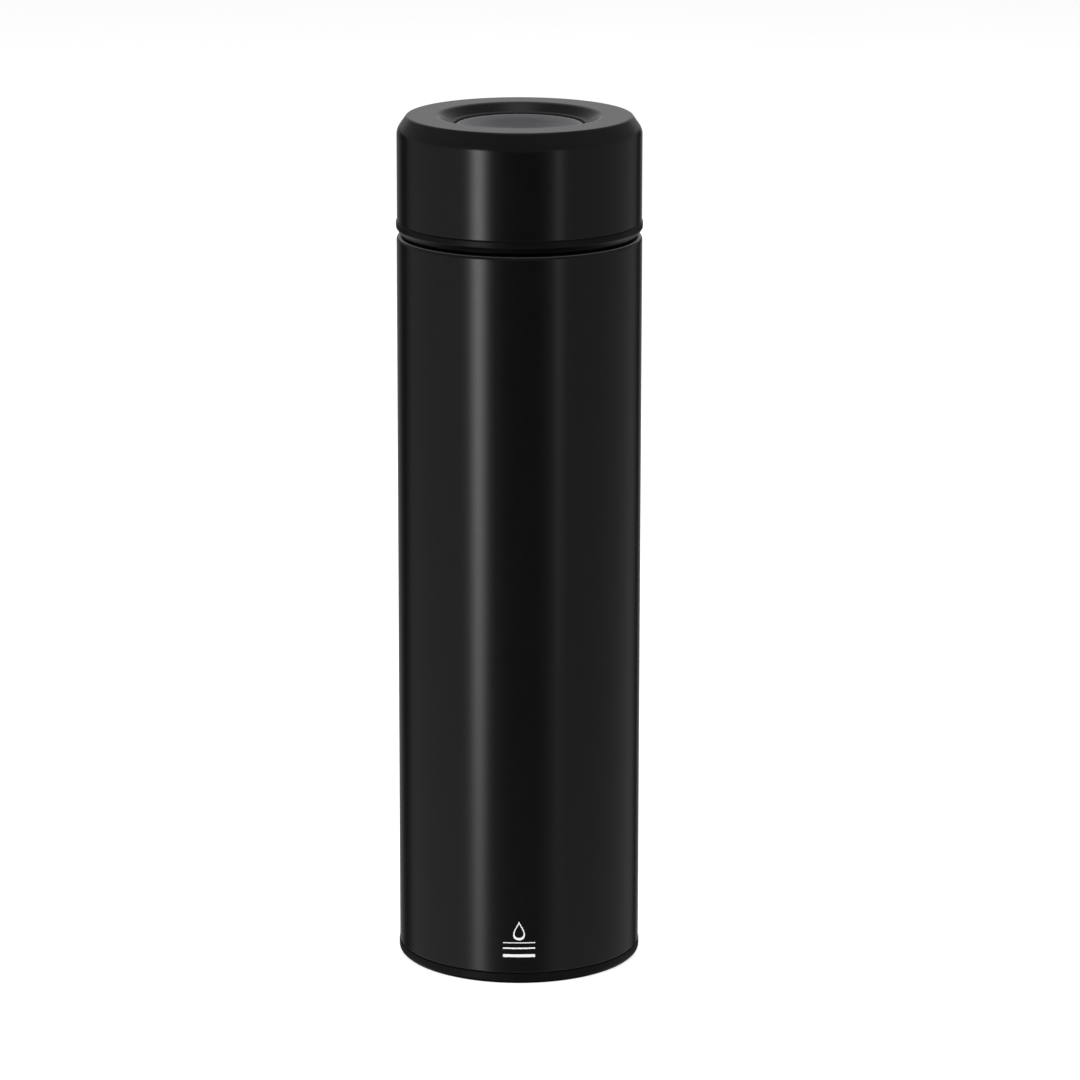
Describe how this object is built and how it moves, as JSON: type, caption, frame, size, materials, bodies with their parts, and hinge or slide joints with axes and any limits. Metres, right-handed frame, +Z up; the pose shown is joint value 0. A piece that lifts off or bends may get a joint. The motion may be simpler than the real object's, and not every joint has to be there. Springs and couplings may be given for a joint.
{
  "type": "vacuum flask",
  "caption": "Slim cylindrical double-wall vacuum flask in matt black with an unscrewing cap, a display window recessed in the cap's top and a lift-out tea strainer.",
  "frame": {"origin": "centre of the underside, on the plane the flask stands on", "axes": "+Z up along the flask's axis, -Y is the front that carries the small printed mark"},
  "size_m": [0.0654, 0.0654, 0.2297],
  "materials": {
    "body_coating": "matt-satin black powder coat on stainless steel",
    "cap_coating": "matt-satin black powder coat on stainless steel, fine grain",
    "liner_steel": "electropolished stainless steel, fine turned lines",
    "vessel_steel": "plain rolled stainless steel",
    "strainer_steel": "satin perforated stainless sheet",
    "probe_steel": "polished stainless steel",
    "cell_steel": "bright nickel-plated can",
    "seal_glass": "dark sealing glass",
    "getter_alloy": "sintered grey pill",
    "copper_foil": "bright copper foil",
    "black_plastic": "black polypropylene, satin moulded",
    "plug_plastic": "black polypropylene",
    "housing_plastic": "black ABS",
    "window_plastic": "smoked polycarbonate, satin face with a frosted edge band",
    "tape": "black foam tape",
    "circuit_board": "green solder mask",
    "display_block": "grey-black display block",
    "foam": "white closed-cell foam",
    "silicone": "translucent white silicone",
    "sensor_bead": "amber epoxy bead",
    "wire_sheath": "red PVC"
  },
  "bodies": {
    "bottle": {"outer_shell": "body_coating", "inner_liner": "liner_steel", "liner_bottom": "liner_steel", "outer_bottom": "vessel_steel", "vacuum_seal": "seal_glass", "getter": "getter_alloy", "getter_clip": "vessel_steel", "reflector_foil": "copper_foil", "base_cover": "black_plastic"},
    "strainer": {"strainer_basket": "strainer_steel", "strainer_ring": "silicone"},
    "washer": {"lip_washer": "silicone"},
    "seal": {"plug_seal": "silicone"},
    "cap": {"cap_shell": "cap_coating", "display_window": "window_plastic", "window_tape": "tape", "module_housing": "housing_plastic", "display_board": "circuit_board", "led_display": "display_block", "coin_cell": "cell_steel", "cell_clip": "vessel_steel", "cap_liner": "black_plastic", "cap_plug": "plug_plastic", "cap_insulation": "foam", "temperature_probe": "probe_steel", "thermistor": "sensor_bead", "probe_wires": "wire_sheath"}
  },
  "joints": [
    {"name": "strainer_lift", "type": "slide", "parent": "bottle", "child": "strainer", "axis": [0, 0, 1], "range_m": [0, 0.048]},
    {"name": "cap_lift", "type": "slide", "parent": "bottle", "child": "washer", "axis": [0, 0, 1], "range_m": [0, 0.12]},
    {"name": "cap_rise", "type": "slide", "parent": "washer", "child": "seal", "axis": [0, 0, 1], "range_m": [0, 0.005]},
    {"name": "cap_turn", "type": "hinge", "parent": "seal", "child": "cap", "pos_m": [0, 0, 0], "axis": [0, 0, 1], "range_deg": [0, 450]}
  ],
  "couplings": [
    {"joint": "strainer_lift", "follows": "cap_lift", "ratio": 0.4},
    {"joint": "cap_rise", "follows": "cap_turn", "m_per_rad": 0.00063662}
  ]
}
